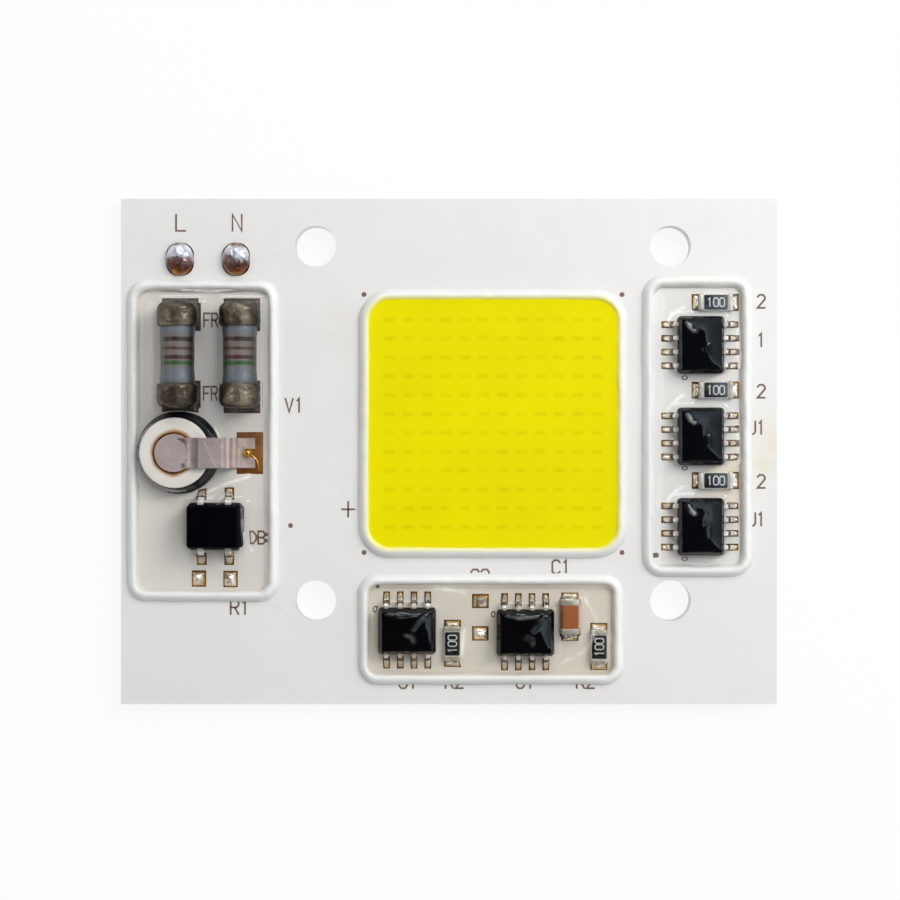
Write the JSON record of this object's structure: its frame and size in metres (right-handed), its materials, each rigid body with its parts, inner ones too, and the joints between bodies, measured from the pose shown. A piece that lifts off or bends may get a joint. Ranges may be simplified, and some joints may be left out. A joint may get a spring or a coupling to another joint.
{
  "type": "driver-on-board LED lighting module",
  "caption": "flat aluminium-core board with a square yellow chip-on-board light field inside a white dam and gel-filled dams over its mains driver parts, with fixing holes",
  "frame": {"origin": "optical axis, the middle of the four fixing holes, on the bare rear face of the board", "axes": "+X along the board's long side, +Y towards the supply solder domes, +Z out of the lit face"},
  "size_m": [0.061, 0.047, 0.0055],
  "materials": {
    "aluminium_plate": "brushed rolled plate, cut edges",
    "insulation": "thin filled resin, seen only at the edge",
    "copper_foil": "etched foil under the mask",
    "white_mask": "glossy white solder mask with brown print",
    "white_silicone": "glossy dispensed bead",
    "phosphor": "yellow phosphor silicone, satin",
    "light_chip": "sawn die",
    "gold_wire": "bond wire",
    "clear_gel": "clear silicone gel, wet gloss",
    "black_mould": "moulded epoxy, satin",
    "tinned_lead": "tinned copper strip",
    "soft_solder": "flux-stained solder",
    "resistor_glaze": "black glaze on white ceramic",
    "capacitor_ceramic": "fired brown ceramic",
    "fuse_lacquer": "grey lacquer with colour bands",
    "fuse_cap": "dark bronze plating, glossy",
    "varistor_ceramic": "pale silvered face, black side",
    "tinned_strap": "tinned copper strip"
  },
  "bodies": {
    "root": {"aluminium_base": "aluminium_plate", "insulation_layer": "insulation", "copper_circuit": "copper_foil", "solder_mask": "white_mask", "supply_solder_domes": "soft_solder", "light_dam": "white_silicone", "light_chips": "light_chip", "bond_wires": "gold_wire", "phosphor_fill": "phosphor", "rectifier_body": "black_mould", "rectifier_leads": "tinned_lead", "capacitor_body": "capacitor_ceramic", "capacitor_terminals": "tinned_lead", "varistor_disc": "varistor_ceramic", "varistor_strap": "tinned_strap", "driver_dam_left": "white_silicone", "driver_gel_left": "clear_gel", "left_solder_joints": "soft_solder", "driver_dam_right": "white_silicone", "driver_gel_right": "clear_gel", "right_solder_joints": "soft_solder", "driver_dam_bottom": "white_silicone", "driver_gel_bottom": "clear_gel", "bottom_solder_joints": "soft_solder", "driver_chip_1_body": "black_mould", "driver_chip_1_leads": "tinned_lead", "sense_resistor_1_body": "resistor_glaze", "sense_resistor_1_terminals": "tinned_lead", "driver_chip_2_body": "black_mould", "driver_chip_2_leads": "tinned_lead", "sense_resistor_2_body": "resistor_glaze", "sense_resistor_2_terminals": "tinned_lead", "driver_chip_3_body": "black_mould", "driver_chip_3_leads": "tinned_lead", "sense_resistor_3_body": "resistor_glaze", "sense_resistor_3_terminals": "tinned_lead", "driver_chip_4_body": "black_mould", "driver_chip_4_leads": "tinned_lead", "sense_resistor_4_body": "resistor_glaze", "sense_resistor_4_terminals": "tinned_lead", "driver_chip_5_body": "black_mould", "driver_chip_5_leads": "tinned_lead", "sense_resistor_5_body": "resistor_glaze", "sense_resistor_5_terminals": "tinned_lead", "fuse_resistor_1_body": "fuse_lacquer", "fuse_resistor_1_caps": "fuse_cap", "fuse_resistor_2_body": "fuse_lacquer", "fuse_resistor_2_caps": "fuse_cap"}
  },
  "joints": []
}
